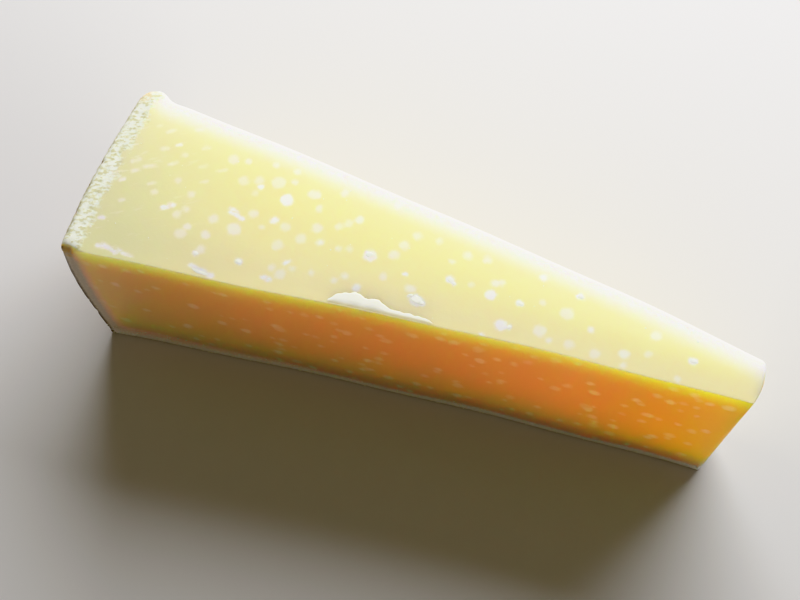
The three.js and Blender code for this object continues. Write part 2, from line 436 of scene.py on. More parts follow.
# White crystals sit all through the paste and show where a cut passes through them.
crystals = {
    # on the cut top: mm in from the rind, mm back from the front cut, diameter
    "top": (
        (31, 32, 2.7), (34.5, 32.5, 1.8), (41, 33, 1.6), (35.5, 27, 2.5), (39, 28, 2.3), (40, 26.5, 1.6),
        (39.5, 24.5, 1.4), (43.5, 28.5, 3.2), (47, 24.5, 3.2), (47, 29.5, 1.4), (46.5, 32.5, 1.6),
        (25.5, 20.5, 1.8), (26, 16.5, 1.6), (24.5, 14.5, 2.0), (27.5, 10, 2.7), (28.2, 12, 1.8),
        (33, 11, 2.1), (33, 15.5, 2.4), (38.5, 14, 3.3), (41, 19, 2.3), (46.5, 18.5, 2.1), (49.5, 17.5, 2.3),
        (44.5, 16, 1.4), (56.5, 19, 2.7), (55, 24, 1.8), (52, 27.5, 2.3), (54, 15.5, 2.5), (22, 16.5, 1.8),
        (58.5, 15.5, 1.9), (49.5, 12.5, 2.7), (33.5, 7, 2.2), (50.5, 6.5, 1.8), (53, 5.5, 2.5),
        (70.5, 15, 3.0), (75.5, 16.5, 2.4), (65, 7, 1.6), (67, 8.5, 1.6), (75, 10.5, 1.8), (70.5, 6.3, 2.0),
        (77, 19.5, 2.4), (79, 22.5, 2.1), (91.5, 20.5, 2.0), (96, 20.5, 2.0), (82, 9, 2.3), (99.5, 12, 2.7),
        (99.5, 15, 1.9), (101, 15.5, 1.6), (94.5, 13.5, 1.3), (117, 11.5, 3.1), (104, 5.2, 2.9),
        (112.5, 6, 2.9), (115, 4.2, 1.2), (119.5, 4.2, 2.2), (125.5, 3.5, 2.4), (131.5, 5, 2.3),
        (132, 2.3, 1.6), (136.5, 6.2, 1.6), (137, 11, 2.5), (144, 2, 1.5), (61, 20.5, 1.9), (63, 22, 2.0),
        (65, 23.5, 2.0), (55, 7.5, 1.5), (59.5, 7.5, 1.4), (63, 15, 1.5), (65.5, 15.5, 1.5),
        (84, 22.5, 1.6), (88.5, 18, 1.3), (109.5, 19, 1.8), (111, 13, 1.5), (53, 27.5, 2.2), (59, 29.5, 1.8),
        (19.5, 30.5, 1.5), (21, 23.5, 1.6), (17, 19, 1.5), (60, 34, 1.4), (72, 29, 1.5), (123, 9, 1.4),
    ),
    # dragged out by the knife: in from the rind, back from the front cut, length, width
    "dragged": (
        (14.5, 31, 2.2, 0.8), (17, 32.8, 1.6, 0.7), (13.8, 36, 2.4, 0.7), (10.4, 36.8, 1.2, 0.6),
        (23.5, 33.5, 2.4, 0.7), (20, 38, 2.0, 0.6), (13, 25.5, 3.2, 0.6), (9.5, 26.2, 2.6, 0.6),
        (10.4, 23.5, 1.8, 0.7), (8.6, 20.4, 1.6, 0.7), (11, 15, 1.6, 0.6), (29.5, 28.5, 2.6, 0.6),
        (18, 27.5, 2.6, 0.5), (27, 24.5, 2.2, 0.6), (15.5, 21, 2.0, 0.5), (25, 28.5, 2.4, 0.6),
    ),
    "dragTurn": 34, "dragSpread": 8,  # degrees from the wedge's length, and how much each may differ
    "onCuts": {"front": 190, "back": 120, "tip": 16},
    "smallest": 1.1, "largest": 3.3, "sizeBias": (1.6, 2.2), "seed": 11,
    "sunkIn": (-0.2, 0.6),  # how deep behind a cut a crystal's middle lies, in parts of its radius
    "clearOfRind": 4, "clearOfTip": 2, "clearOfFoot": 1, "clearOfTop": 2.2,
    "topTint": (0.7, 1), "draggedTint": (0.75, 0.97), "cutTint": (0.5, 1),
    "paintedHalo": 0.95,  # how wide the painted white halo round a curl or crumb is, in parts of its width
    "reach": 4.0,  # mm outside a crystal where the field stops
}


def crystalSegments():
    # every crystal as a short segment (start, end, radius, tint); a round one has no length
    rng = np.random.default_rng(crystals["seed"])
    rows = []
    for along, fromFront, size in crystals["top"]:
        centre = onPlan(along, fromFront)
        rows.append((centre, centre, size / 2, rng.uniform(*crystals["topTint"])))
    for along, fromFront, length, width in crystals["dragged"]:
        astray = rng.uniform(-crystals["dragSpread"], crystals["dragSpread"])
        turn = math.radians(crystals["dragTurn"] + astray)
        half = np.array([math.cos(turn), math.sin(turn), 0]) * (length - width) / 2
        centre = onPlan(along, fromFront)
        rows.append((centre - half, centre + half, width / 2, rng.uniform(*crystals["draggedTint"])))
    for along, fromFront, length, width, turn in curls["strokes"] + crumbs["places"]:
        # painted light: a soft white halo round every curl and crumb, for their glow, hiding the shade at
        # their edges
        heading = math.radians(turn)
        half = np.array([math.cos(heading), math.sin(heading), 0]) * max(length - width, 0) / 2
        centre = onPlan(along, fromFront)
        rows.append((centre - half, centre + half, width * crystals["paintedHalo"], 1))
    for cut, count in crystals["onCuts"].items():
        for _ in range(count):
            sizeRange = crystals["largest"] - crystals["smallest"]
            size = crystals["smallest"] + sizeRange * rng.beta(*crystals["sizeBias"])
            inset = size / 2 * rng.uniform(*crystals["sunkIn"])
            along = wedgeLength - inset
            if cut != "tip":
                along = rng.uniform(crystals["clearOfRind"], wedgeLength - crystals["clearOfTip"])
            width = widthAt(along)
            across = {"front": inset, "back": width - inset, "tip": rng.uniform(0, width)}[cut]
            up = rng.uniform(crystals["clearOfFoot"], wedge["height"] - crystals["clearOfTop"])
            centre = intoPart(placeInWheel(np.array([[along, across, up]])))[0]
            rows.append((centre, centre, size / 2, rng.uniform(*crystals["cutTint"])))
    return rows


def crystalFields(points):
    # mm from each point to the nearest crystal's edge, below zero inside it, and that crystal's tint
    edge = np.full(len(points), crystals["reach"])
    tint = np.zeros(len(points))
    for start, end, radius, strength in crystalSegments():
        near = np.flatnonzero(np.abs(points[:, 0] - start[0]) < crystals["reach"] + crystals["largest"])
        span = end - start
        t = np.clip((points[near] - start) @ span / max(span @ span, 1e-9), 0, 1)
        distance = np.linalg.norm(points[near] - start - t[:, None] * span, axis=1) - radius
        closer = distance < edge[near]
        edge[near[closer]] = distance[closer]
        tint[near[closer]] = strength
    return edge, tint


# The hard band of dried paste under the wheel's flat rind, seen along the foot of every cut.
footBand = {"atRind": 6.5, "middle": 3.2, "atTip": 3.2, "fadesBy": 55.0, "uneven": 0.9, "patch": 14.0}


def footThickness(points, along):
    fromRind = footBand["atRind"] - footBand["middle"]
    steady = footBand["middle"] + (footBand["atTip"] - footBand["middle"]) * along / wedgeLength
    patches = np.array([ripple(p, footBand["patch"], 3) for p in points])
    return steady + fromRind * bell(along, footBand["fadesBy"]) + footBand["uneven"] * patches


# Oil-brown stains at the two top corners of the rind.
stains = {
    # along, across, up, radius
    "places": (
        (0.8, 0.0, 48.4, 1.2), (2.6, 0.0, 47.8, 1.3), (0.6, 45.2, 49.5, 1.7), (1.6, 43.4, 50.0, 1.0),
    ),
    "soft": 1.2,
}


def stainField(points):
    strength = np.zeros(len(points))
    for along, across, up, radius in stains["places"]:
        centre = intoPart(placeInWheel(np.array([[along, across, up]])))[0]
        distance = np.linalg.norm(points - centre, axis=1)
        strength = np.maximum(strength, 1 - smoothStep(distance, radius, radius + stains["soft"]))
    return strength


def buildWedgeForm():
    form = meshFrom("wedgeForm", bodyPoints, wedgeFaces)
    mesh = form.data
    crystalEdge, crystalTint = crystalFields(bodyPoints)
    addField(mesh, "rindDepth", block[:, 0])  # mm in from the wheel's side
    addField(mesh, "backDepth", widthAt(block[:, 0]) - block[:, 1])  # mm in from the back cut
    addField(mesh, "ridgeDepth", np.hypot(block[:, 1], wedge["height"] - block[:, 2]))
    addField(mesh, "blockUp", block[:, 2])  # mm above the floor
    addField(mesh, "footEdge", footThickness(bodyPoints, block[:, 0]) - bodyPoints[:, 2])
    addField(mesh, "topCut", smoothStep(facing[:, 2], *wedge["topTilt"]))
    addField(mesh, "topAndEdge", smoothStep(facing[:, 2], *wedge["edgeTilt"]))
    addField(mesh, "shade", smoothStep(-facing[:, 1], -1, 1))  # 1 on the front cut, 0 on the back one
    addField(mesh, "frontCut", (block[:, 1] < wedge["foremost"]).astype(float))
    addField(mesh, "crystalEdge", crystalEdge)
    addField(mesh, "crystalTint", crystalTint)
    addField(mesh, "stain", stainField(bodyPoints))
    addField(mesh, "onSkin", onSkin.astype(float), "FACE")
    return form


wedgeForm = buildWedgeForm()
print("crystals and rind bands marked")


# Relief of the cut faces and the rind, all of it pressed inwards. Sizes and depths are in mm.
relief = {
    "Wave Size": 17.0, "Wave Depth": 0.14,
    "Crust Width": 5.8, "Jag Size": 2.6, "Jag": 6.5,
    "Crumb Size": 1.1, "Crumble Depth": 0.22, "Foot Crumble": 0.15,
    "Pit Size": 2.1, "Pit Depth": 0.55, "Dimple Size": 9.0, "Dimple Depth": 0.5,
}
reliefEdges = {
    "crustSoft": 0.9, "footSoft": 2.5, "skinSoft": 1.6,  # mm over which each relief sets in
    "gapSharp": 1.5, "pitFrom": 0.5, "pitFull": 0.72, "floorGap": 0.05,
}


def reliefTree():
    tree = newGeometryTree("cutAndCrumbledRelief", relief, ("Paste", "Rind"))
    given = addNode(tree, "NodeGroupInput").outputs
    position = addNode(tree, "GeometryNodeInputPosition")
    place = addNode(tree, "ShaderNodeVectorMath", {0: position, "Scale": 1 / metre}, operation="SCALE")
    field, pattern = {}, {}
    for name in ("rindDepth", "topAndEdge", "footEdge", "blockUp", "onSkin"):
        field[name] = addNode(tree, "GeometryNodeInputNamedAttribute", {"Name": name})
    for name, kind, settings in (
            ("Wave Size", "ShaderNodeTexNoise", {"Detail": 1}),
            ("Dimple Size", "ShaderNodeTexNoise", {"Detail": 1}),
            ("Jag Size", "ShaderNodeTexNoise", {"Detail": 3}),
            ("Pit Size", "ShaderNodeTexNoise", {"Detail": 3}),
            ("Crumb Size", "ShaderNodeTexVoronoi", {})):
        spread = addNode(tree, "ShaderNodeVectorMath", {0: place, 1: given[name]}, operation="DIVIDE")
        pattern[name] = addNode(tree, kind, {"Vector": spread, "Scale": 1, **settings})

    # slow waves of the knife on the cuts
    depth = addNode(tree, "ShaderNodeMath", {
        0: pattern["Wave Size"], 1: given["Wave Depth"]}, operation="MULTIPLY")

    # the crumbly crust: its jagged inner border, then grains with gaps between them
    jag = addNode(tree, "ShaderNodeMath", {0: pattern["Jag Size"], 1: 0.5}, operation="SUBTRACT")
    jag = addNode(tree, "ShaderNodeMath", {0: jag, 1: given["Jag"]}, operation="MULTIPLY")
    border = addNode(tree, "ShaderNodeMath", {0: given["Crust Width"], 1: jag}, operation="ADD")
    crustEdge = addNode(tree, "ShaderNodeMath", {0: border, 1: field["rindDepth"]}, operation="SUBTRACT")
    marked = addNode(tree, "GeometryNodeStoreNamedAttribute", {
        "Geometry": given["Geometry"], "Name": "crustEdge", "Value": crustEdge}, domain="POINT")
    gaps = addNode(tree, "ShaderNodeMath", {
        0: pattern["Crumb Size"], 1: reliefEdges["gapSharp"]}, operation="POWER")
    onCrust = addNode(tree, "ShaderNodeMath", {
        0: crustEdge, 1: reliefEdges["crustSoft"]}, operation="DIVIDE", use_clamp=True)
    onCrust = addNode(tree, "ShaderNodeMath", {0: onCrust, 1: field["topAndEdge"]}, operation="MULTIPLY")
    onFoot = addNode(tree, "ShaderNodeMath", {
        0: field["footEdge"], 1: 1 / reliefEdges["footSoft"]}, operation="MULTIPLY", use_clamp=True)
    for amount, where in ((given["Crumble Depth"], onCrust), (given["Foot Crumble"], onFoot)):
        crumble = addNode(tree, "ShaderNodeMath", {0: gaps, 1: amount}, operation="MULTIPLY")
        crumble = addNode(tree, "ShaderNodeMath", {0: crumble, 1: where}, operation="MULTIPLY")
        depth = addNode(tree, "ShaderNodeMath", {0: depth, 1: crumble}, operation="ADD")

    # the rind's skin: shallow dimples with fine pits in them
    pitted = addNode(tree, "ShaderNodeMapRange", {
        "Value": pattern["Pit Size"], "From Min": reliefEdges["pitFrom"], "From Max": reliefEdges["pitFull"]})
    pits = addNode(tree, "ShaderNodeMath", {0: pitted, 1: given["Pit Depth"]}, operation="MULTIPLY")
    dimples = addNode(tree, "ShaderNodeMath", {
        0: pattern["Dimple Size"], 1: given["Dimple Depth"]}, operation="MULTIPLY")
    skin = addNode(tree, "ShaderNodeMath", {0: dimples, 1: pits}, operation="ADD")
    offSkin = addNode(tree, "ShaderNodeMath", {
        0: field["rindDepth"], 1: reliefEdges["skinSoft"]}, operation="DIVIDE", use_clamp=True)
    onSkin = addNode(tree, "ShaderNodeMath", {0: 1, 1: offSkin}, operation="SUBTRACT")
    skin = addNode(tree, "ShaderNodeMath", {0: skin, 1: onSkin}, operation="MULTIPLY")
    depth = addNode(tree, "ShaderNodeMath", {0: depth, 1: skin}, operation="ADD")

    normal = addNode(tree, "GeometryNodeInputNormal")
    inwards = addNode(tree, "ShaderNodeMath", {0: depth, 1: -metre}, operation="MULTIPLY")
    offset = addNode(tree, "ShaderNodeVectorMath", {0: normal, "Scale": inwards}, operation="SCALE")
    aboveFloor = addNode(tree, "ShaderNodeMath", {
        0: field["blockUp"], 1: reliefEdges["floorGap"]}, operation="GREATER_THAN")
    pressed = addNode(tree, "GeometryNodeSetPosition", {
        "Geometry": marked, "Selection": aboveFloor, "Offset": offset})
    real = addNode(tree, "GeometryNodeRealizeInstances", {"Geometry": pressed})
    cut = addNode(tree, "GeometryNodeSetMaterial", {"Geometry": real, "Material": given["Paste"]})
    rind = addNode(tree, "GeometryNodeSetMaterial", {
        "Geometry": cut, "Selection": field["onSkin"], "Material": given["Rind"]})
    addNode(tree, "NodeGroupOutput", {"Geometry": rind})
    return tree


pasteLook = {
    "tones": {
        "top": "#f9efbe", "topByRind": "#e5e6ba", "topByCorner": "#e1dabb",
        # the paste is painted in lit and shaded copies: the front cut, in shade, has tones of its own, with a
        # painted glow under the ridge and towards the tip and a painted shade low down; the back cut under
        # the key is painted darker; crystals and the foot band each have a tone for shade and one for light
        "cut": "#e0dd9f", "tipGlowPainted": "#dfda61", "ridgeGlowPainted": "#f9f1af", "footShadePainted": "#fdb1b1",
        # rim is a painted highlight: the near white of the back rim and of the glints in the strongest
        # crystals
        "backCutPaintedDarker": "#f1e3af", "cloud": "#e5e1a2", "fleck": "#fffdf4", "rim": "#fcffff", "stain": "#e7c57c",
        "crystal": "#fcf8f1", "crystalPaintedInShade": "#eff9dd",
        "crust": "#f1f9ef", "crustGap": "#dadab6", "crustRim": "#c5bf95", "crustPit": "#8d6c34",
        "band": "#fdd7c8", "bandPale": "#fdf9f7", "bandEnd": "#cecbbc", "bandPaintedInLight": "#f1e7c8",
        "skin": "#54401f",
    },
    # how far a tone reaches: the field it follows, where it starts and where it is full, mostly in mm
    "fades": {
        "byRind": ("rindDepth", 48, 14), "byTip": ("rindDepth", 122, 158), "byBack": ("backDepth", 34, 8),
        "byRidge": ("ridgeDepth", 10, 0), "offRidge": ("ridgeDepth", 0, 10),
        "flecked": ("rindDepth", 34, 4), "crowded": ("rindDepth", 12, 3), "pitted": ("rindDepth", 1.8, 0.6),
        "footLift": ("rindDepth", 85, 125), "footByTip": ("rindDepth", 30, 110),
        "paleTip": ("rindDepth", 70, 130), "paleFoot": ("blockUp", 4.5, 1.2),
        "corner": ("shade", 0.78, 0.92), "strong": ("crystalTint", 0.95, 0.98),
    },
    # noises: the size of a lump in mm, and its detail; real grit is finer, and drawn as coarse as it shows
    "patterns": {
        "grit": (0.9, 3), "fine": (0.7, 2), "cloud": (22, 3),
        "wobble": (1.6, 2), "pit": (2.3, 2), "stain": (1.2, 2),
    },
    # ragged borders: the field, its share of the jag, where each starts and where it is full, in mm
    "borders": {
        "crustRim": ("rindDepth", 0.5, 1.3, 0.4), "foot": ("footEdge", 0.5, -0.8, 0.9),
        "end": ("rindDepth", 0.6, 6.5, 3.5), "skin": ("rindDepth", 0.3, 2.0, 0.9),
    },
    # mm that red, green and blue light travel in the paste before they turn
    "glows": {
        "top": (40, 47, 27.6), "edge": (0.1, 0.1, 0.5), "cut": (100, 22.5, 2.5), "cutByRind": (63, 13.5, 2.2),
        "ridge": (100, 78, 6.5), "tip": (74, 21, 1.6), "foot": (2, 3, 3), "footByTip": (1.2, 1.5, 2),
        "band": (1.3, 1.5, 2), "dryAndPaintedRim": (1.2, 1.2, 1.2),
    },
    "ridgeFalloff": 2, "ridgeGlowFalloff": 3, "edgeGlowFalloff": 1.3,  # powers: higher ones fade sooner
    # low on the front cut: where the painted shade and the short reach start, and where both are full
    "footShadeFrom": 11.0, "footFrom": 7.0, "footFull": 1.8, "tipLift": 0.8,  # mm above the floor
    "cloudCover": 0.2, "stainFrom": 0.3, "stainFull": 0.6, "stainCover": 0.8,
    "fleckSize": (4.5, 1.2, 1.2), "fleckTurn": 34, "fleckFrom": 0.63, "fleckFull": 0.77,
    "fleckCrowding": 0.1, "fleckCover": 0.4,
    "crystalSoft": 0.6, "crystalCover": 0.8, "crystalWobble": 1.1,
    "coreFrom": 0.1, "coreFull": -0.4, "coreCover": 0.8,
    # where the painted highlight along the back rim starts and where it is full
    "rimFrom": 7.0, "rimFull": 0.8,  # mm in from the back cut
    "jag": 2.6, "crustFrom": -0.5, "crustFull": 0.9,
    "clumpSize": (1.5, 0.7, 0.7), "clumpTurn": 18, "clumpGrit": 0.3, "gapFrom": 0.47, "gapFull": 0.62,
    "pitFrom": 0.64, "pitFull": 0.7, "crustRimCover": 0.85, "bandEndCover": 0.8, "paleTipCover": 0.5,
    "gloss": 0.42, "glossGrit": 0.1, "dryness": 0.25, "gritHeight": 0.04, "dryHeight": 0.12,
}


def agedPasteKnifeCut():
    # aged hard cheese cut with a knife: pale straw, waxy and lit through from its edges,
    # with soft white crystals, a chalky crumbling crust by the rind and a dull band along the foot
    look = pasteLook
    tone = {name: hexToLinear(colour) for name, colour in look["tones"].items()}
    glow = {name: (*reach, 1) for name, reach in look["glows"].items()}
    material = newMaterial("agedPasteKnifeCut")
    tree = material.node_tree
    coordinates = addNode(tree, "ShaderNodeTexCoord").outputs["Object"]
    place = addNode(tree, "ShaderNodeMapping", {
        "Vector": coordinates, "Scale": (1 / metre, 1 / metre, 1 / metre)})
    field, fade, pattern, border = {}, {}, {}, {}
    for name in ("topCut", "topAndEdge", "shade", "rindDepth", "backDepth", "ridgeDepth", "blockUp",
                 "crustEdge", "footEdge", "crystalEdge", "crystalTint", "stain"):
        field[name] = addNode(tree, "ShaderNodeAttribute", attribute_name=name).outputs["Fac"]
    for name, (source, start, full) in look["fades"].items():
        fade[name] = addNode(tree, "ShaderNodeMapRange", {
            "Value": field[source], "From Min": start, "From Max": full})
    for name, (size, detail) in look["patterns"].items():
        pattern[name] = addNode(tree, "ShaderNodeTexNoise", {
            "Vector": place, "Scale": 1 / size, "Detail": detail})

    # where the paste is shaded, near the tip, near the ridge and near the foot
    offTopFace = addNode(tree, "ShaderNodeMath", {0: 1, 1: field["topCut"]}, operation="SUBTRACT")
    inShade = addNode(tree, "ShaderNodeMath", {0: field["shade"], 1: offTopFace}, operation="MULTIPLY")
    inLight = addNode(tree, "ShaderNodeMath", {0: 1, 1: inShade}, operation="SUBTRACT")
    byCorner = addNode(tree, "ShaderNodeMath", {0: fade["byBack"], 1: fade["byRind"]}, operation="MULTIPLY")
    # painted glow: the shaded front cut is painted more saturated towards the thin tip, where more light
    # comes through
    byTip = addNode(tree, "ShaderNodeMath", {0: fade["byTip"], 1: inShade}, operation="MULTIPLY")
    # painted glow: the shaded front cut is painted brighter just under the ridge, where light comes through
    # from the top
    byRidge = addNode(tree, "ShaderNodeMath", {
        0: fade["byRidge"], 1: look["ridgeFalloff"]}, operation="POWER")
    byRidge = addNode(tree, "ShaderNodeMath", {0: byRidge, 1: inShade}, operation="MULTIPLY")
    lift = addNode(tree, "ShaderNodeMath", {0: fade["footLift"], 1: look["tipLift"]}, operation="MULTIPLY")
    footHeight = addNode(tree, "ShaderNodeMath", {0: field["blockUp"], 1: lift}, operation="ADD")
    # low down on the shaded cut: the front cut painted redder and darker towards the foot, a painted shade,
    # and the shorter reach of light near the floor
    lowDown = {}
    for name in ("footShadeFrom", "footFrom"):
        low = addNode(tree, "ShaderNodeMapRange", {
            "Value": footHeight, "From Min": look[name], "From Max": look["footFull"]})
        lowDown[name] = addNode(tree, "ShaderNodeMath", {0: low, 1: inShade}, operation="MULTIPLY")
    clouds = addNode(tree, "ShaderNodeMath", {
        0: pattern["cloud"], 1: look["cloudCover"]}, operation="MULTIPLY")

    # flecks dragged out by the knife, thickest next to the crust
    streaks = addNode(tree, "ShaderNodeMapping", {
        "Vector": coordinates, "Rotation": (0, 0, math.radians(look["fleckTurn"])),
        "Scale": [size * metre for size in look["fleckSize"]]}, vector_type="TEXTURE")
    flecks = addNode(tree, "ShaderNodeTexNoise", {"Vector": streaks, "Scale": 1, "Detail": 2})
    crowding = addNode(tree, "ShaderNodeMath", {
        0: fade["crowded"], 1: look["fleckCrowding"]}, operation="MULTIPLY")
    flecks = addNode(tree, "ShaderNodeMath", {0: flecks, 1: crowding}, operation="ADD")
    fleck = addNode(tree, "ShaderNodeMapRange", {
        "Value": flecks, "From Min": look["fleckFrom"], "From Max": look["fleckFull"]})
    for part in (fade["flecked"], look["fleckCover"], field["topCut"]):
        fleck = addNode(tree, "ShaderNodeMath", {0: fleck, 1: part}, operation="MULTIPLY")

    # crystals, with edges that melt into the paste, and in the strongest of them a white core painted on lit
    # faces only, partly the crystal's own white and partly a painted glint
    wobble = addNode(tree, "ShaderNodeMath", {0: pattern["wobble"], 1: 0.5}, operation="SUBTRACT")
    wobble = addNode(tree, "ShaderNodeMath", {0: wobble, 1: look["crystalWobble"]}, operation="MULTIPLY")
    crystalEdge = addNode(tree, "ShaderNodeMath", {0: field["crystalEdge"], 1: wobble}, operation="ADD")
    crystal = addNode(tree, "ShaderNodeMapRange", {
        "Value": crystalEdge, "From Min": look["crystalSoft"], "From Max": -look["crystalSoft"],
        "To Max": look["crystalCover"]}, interpolation_type="SMOOTHSTEP")
    crystal = addNode(tree, "ShaderNodeMath", {0: crystal, 1: field["crystalTint"]}, operation="MULTIPLY")
    # painted light and shade: crystals take one tone on lit faces and another on shaded ones
    crystalTone = addNode(tree, "ShaderNodeMix", {
        0: inShade, 6: tone["crystal"], 7: tone["crystalPaintedInShade"]}, data_type="RGBA")
    core = addNode(tree, "ShaderNodeMapRange", {
        "Value": crystalEdge, "From Min": look["coreFrom"], "From Max": look["coreFull"]})
    for part in (fade["strong"], inLight, look["coreCover"]):
        core = addNode(tree, "ShaderNodeMath", {0: core, 1: part}, operation="MULTIPLY")

    # painted highlight: the back rim of the top is painted near white, fading inwards, where the light from
    # behind catches the edge
    rim = addNode(tree, "ShaderNodeMapRange", {
        "Value": field["backDepth"], "From Min": look["rimFrom"], "From Max": look["rimFull"]},
        interpolation_type="SMOOTHSTEP")
    rim = addNode(tree, "ShaderNodeMath", {0: rim, 1: field["topAndEdge"]}, operation="MULTIPLY")

    # the jag that makes every border of the dry parts ragged
    fineGrit = addNode(tree, "ShaderNodeMath", {0: pattern["fine"], 1: 0.5}, operation="SUBTRACT")
    jag = addNode(tree, "ShaderNodeMath", {0: fineGrit, 1: look["jag"]}, operation="MULTIPLY")
    for name, (source, share, start, full) in look["borders"].items():
        ragged = addNode(tree, "ShaderNodeMath", {0: jag, 1: share}, operation="MULTIPLY")
        ragged = addNode(tree, "ShaderNodeMath", {0: field[source], 1: ragged}, operation="ADD")
        border[name] = addNode(tree, "ShaderNodeMapRange", {
            "Value": ragged, "From Min": start, "From Max": full})

    # crust by the rind: white clumps, straw gaps between them and a few brown pits at its outer edge
    crust = addNode(tree, "ShaderNodeMath", {0: field["crustEdge"], 1: jag}, operation="ADD")
    crust = addNode(tree, "ShaderNodeMapRange", {
        "Value": crust, "From Min": look["crustFrom"], "From Max": look["crustFull"]})
    # painted shade: where the corner turns to the shaded front, the crust is left off and the band's tone
    # painted instead
    offCorner = addNode(tree, "ShaderNodeMath", {0: 1, 1: fade["corner"]}, operation="SUBTRACT")
    for part in (field["topAndEdge"], offCorner):
        crust = addNode(tree, "ShaderNodeMath", {0: crust, 1: part}, operation="MULTIPLY")
    clumps = addNode(tree, "ShaderNodeMapping", {
        "Vector": coordinates, "Rotation": (0, 0, math.radians(look["clumpTurn"])),
        "Scale": [size * metre for size in look["clumpSize"]]}, vector_type="TEXTURE")
    clumps = addNode(tree, "ShaderNodeTexNoise", {"Vector": clumps, "Scale": 1, "Detail": 3})
    clumpGrit = addNode(tree, "ShaderNodeMath", {0: fineGrit, 1: look["clumpGrit"]}, operation="MULTIPLY")
    clumps = addNode(tree, "ShaderNodeMath", {0: clumps, 1: clumpGrit}, operation="ADD")
    gap = addNode(tree, "ShaderNodeMapRange", {
        "Value": clumps, "From Min": look["gapFrom"], "From Max": look["gapFull"]})
    crustRim = addNode(tree, "ShaderNodeMath", {
        0: border["crustRim"], 1: look["crustRimCover"]}, operation="MULTIPLY")
    pit = addNode(tree, "ShaderNodeMapRange", {
        "Value": pattern["pit"], "From Min": look["pitFrom"], "From Max": look["pitFull"]})
    pit = addNode(tree, "ShaderNodeMath", {0: pit, 1: fade["pitted"]}, operation="MULTIPLY")
    crustTone = tone["crust"]
    for cover, colour in ((gap, "crustGap"), (crustRim, "crustRim"), (pit, "crustPit")):
        crustTone = addNode(tree, "ShaderNodeMix", {
            0: cover, 6: crustTone, 7: tone[colour]}, data_type="RGBA")

    # the dull band of dry paste inside the rind, round the foot and the end of every cut
    offTop = addNode(tree, "ShaderNodeMath", {0: 1, 1: field["topAndEdge"]}, operation="SUBTRACT")
    # and over the corner turned to the shaded front: painted shade
    offTop = addNode(tree, "ShaderNodeMath", {0: offTop, 1: fade["corner"]}, operation="MAXIMUM")
    band = addNode(tree, "ShaderNodeMath", {0: border["foot"], 1: border["end"]}, operation="MAXIMUM")
    band = addNode(tree, "ShaderNodeMath", {0: band, 1: offTop}, operation="MULTIPLY")
    paler = addNode(tree, "ShaderNodeMath", {0: fade["paleFoot"], 1: fineGrit}, operation="ADD")
    paleTip = addNode(tree, "ShaderNodeMath", {
        0: fade["paleTip"], 1: look["paleTipCover"]}, operation="MULTIPLY")
    paler = addNode(tree, "ShaderNodeMath", {0: paler, 1: paleTip}, operation="ADD", use_clamp=True)
    bandEnd = addNode(tree, "ShaderNodeMath", {
        0: border["end"], 1: look["bandEndCover"]}, operation="MULTIPLY")
    bandTone = tone["band"]
    for cover, colour in ((bandEnd, "bandEnd"), (paler, "bandPale")):
        bandTone = addNode(tree, "ShaderNodeMix", {
            0: cover, 6: bandTone, 7: tone[colour]}, data_type="RGBA")
    # painted light and shade: the band takes one tone on the lit back cut and another on the shaded faces
    bandTone = addNode(tree, "ShaderNodeMix", {
        0: inShade, 6: tone["bandPaintedInLight"], 7: bandTone}, data_type="RGBA")
    skin = addNode(tree, "ShaderNodeMath", {0: border["skin"], 1: offTop}, operation="MULTIPLY")

    # oily stains at the corners of the rind
    stain = addNode(tree, "ShaderNodeMapRange", {
        "Value": pattern["stain"], "From Min": look["stainFrom"], "From Max": look["stainFull"]})
    stain = addNode(tree, "ShaderNodeMath", {0: stain, 1: look["stainCover"]}, operation="MULTIPLY")
    stain = addNode(tree, "ShaderNodeMath", {0: field["stain"], 1: stain}, operation="MULTIPLY")

    # every tone laid over the ones before it
    top = tone["top"]
    # painted shade: the top is painted darker and greener towards the rind
    for cover, colour in ((fade["byRind"], "topByRind"), (byCorner, "topByCorner")):
        top = addNode(tree, "ShaderNodeMix", {0: cover, 6: top, 7: tone[colour]}, data_type="RGBA")
    # painted shade: the back cut, facing the key, is painted darker than the top
    base = tone["backCutPaintedDarker"]
    # painted light and shade in this stack: the shaded front cut with its glow under the ridge and towards
    # the tip and its darker foot, the crystals' lit and shaded tones and glints, the halos round curls and
    # crumbs, and the white back rim
    for cover, colour in (
            (field["topCut"], top), (inShade, tone["cut"]), (byRidge, tone["ridgeGlowPainted"]),
            (byTip, tone["tipGlowPainted"]), (lowDown["footShadeFrom"], tone["footShadePainted"]),
            (clouds, tone["cloud"]), (fleck, tone["fleck"]),
            (crystal, crystalTone), (core, tone["rim"]), (rim, tone["rim"]), (crust, crustTone),
            (band, bandTone), (skin, tone["skin"]), (stain, tone["stain"])):
        base = addNode(tree, "ShaderNodeMix", {0: cover, 6: base, 7: colour}, data_type="RGBA")

